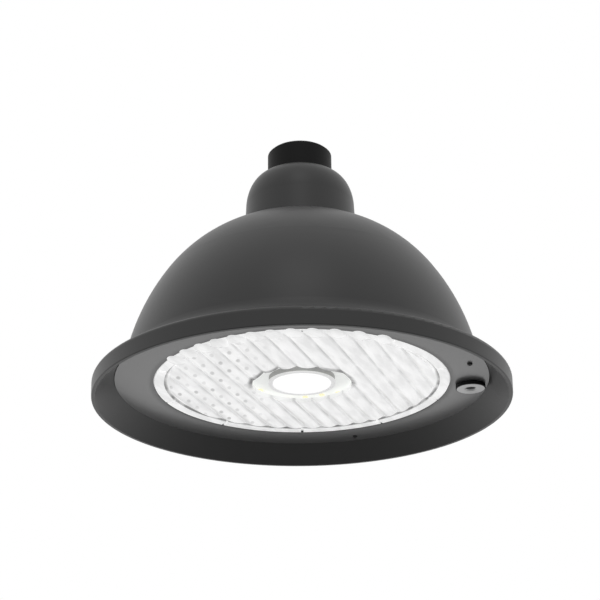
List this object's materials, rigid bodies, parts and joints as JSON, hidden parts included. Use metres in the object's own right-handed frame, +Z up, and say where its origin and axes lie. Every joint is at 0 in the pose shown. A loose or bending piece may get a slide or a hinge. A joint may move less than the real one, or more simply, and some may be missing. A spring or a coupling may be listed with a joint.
{
  "type": "solar area light",
  "caption": "Bell-shaped solar area light head: domed shade with a wide rim, capped pipe socket on top, ribbed round lens with a central motion sensor, and a round light sensor below.",
  "frame": {"origin": "centre of the mouth of the neck socket, at the top of the light", "axes": "+Z up along the socket, the way the pipe leaves; +X towards the round light sensor on the panel; -Y towards the viewer of the picture"},
  "size_m": [0.4598, 0.4598, 0.3165],
  "materials": {
    "shade_paint": "satin dark grey powder coat",
    "neck_paint": "satin black powder coat",
    "panel_paint": "smooth grey powder coat",
    "dark_zinc": "black zinc plating",
    "optic_plastic": "clear moulded polycarbonate, polished",
    "white_plastic": "white lens plastic, satin",
    "black_plastic": "fine matt moulding",
    "grey_plastic": "fine matt moulding",
    "smoked_plastic": "smoked, polished",
    "seal_rubber": "matt black",
    "silver_metal": "turned and anodised",
    "sheet_metal": "mill finish",
    "screw_steel": "zinc plated",
    "board_white": "white solder mask",
    "chip_resin": "phosphor resin",
    "board_green": "green solder mask",
    "battery_wrap": "shrink film"
  },
  "bodies": {
    "root": {"cap": "shade_paint", "shade": "shade_paint", "neck_socket": "neck_paint", "neck_locknut": "neck_paint", "bottom_cover": "panel_paint", "cover_screws": "dark_zinc", "socket_set_screws": "dark_zinc", "lens": "optic_plastic", "motion_sensor_lens": "white_plastic", "sensor_body": "black_plastic", "terminal_block": "black_plastic", "sensor_nut": "black_plastic", "motion_sensor_collar": "grey_plastic", "sensor_window": "smoked_plastic", "neck_seal": "seal_rubber", "cap_gasket": "seal_rubber", "wire_grommet": "seal_rubber", "cover_gasket": "seal_rubber", "lens_gasket": "seal_rubber", "sensor_seal": "seal_rubber", "sensor_ring": "silver_metal", "heat_plate": "sheet_metal", "gear_tray": "sheet_metal", "battery_strap": "sheet_metal", "charge_controller": "sheet_metal", "cap_bolts": "screw_steel", "plate_screws": "screw_steel", "tray_standoffs": "screw_steel", "tray_screws": "screw_steel", "motion_detector": "screw_steel", "led_board": "board_white", "led_chips": "chip_resin", "motion_sensor_board": "board_green", "battery_pack": "battery_wrap"}
  },
  "joints": []
}
